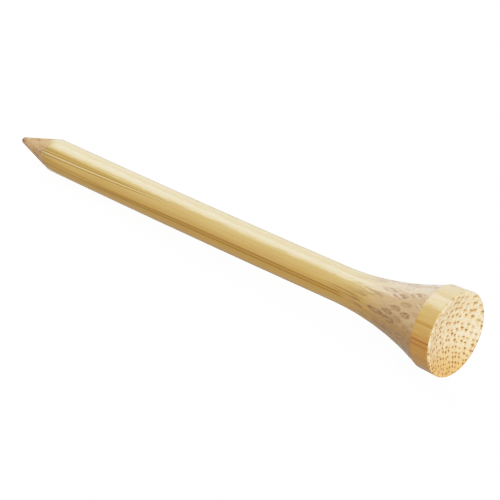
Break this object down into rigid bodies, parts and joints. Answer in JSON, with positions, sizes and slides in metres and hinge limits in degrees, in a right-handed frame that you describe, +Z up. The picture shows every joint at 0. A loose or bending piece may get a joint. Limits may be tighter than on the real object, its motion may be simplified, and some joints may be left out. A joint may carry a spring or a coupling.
{
  "type": "golf tee",
  "caption": "Bamboo golf tee lying on its side: a pointed straight shank that swells in a hollow flare to a banded head with a shallow cup for the ball.",
  "frame": {"origin": "on the surface that the tee lies on, under the middle of its bounding box", "axes": "+X from the point towards the head, +Z up; the tee's own axis rises towards the head by 2.57 degrees, because its head is wider than its shank"},
  "size_m": [0.0828, 0.0118, 0.0118],
  "materials": {
    "lacquered_bamboo": "turned bamboo under a thin clear gloss lacquer, pale along the shank, with open vessels on the end grain of the cup and flare, and bare end grain at the point"
  },
  "bodies": {
    "root": {"bamboo_tee": "lacquered_bamboo"}
  },
  "joints": []
}
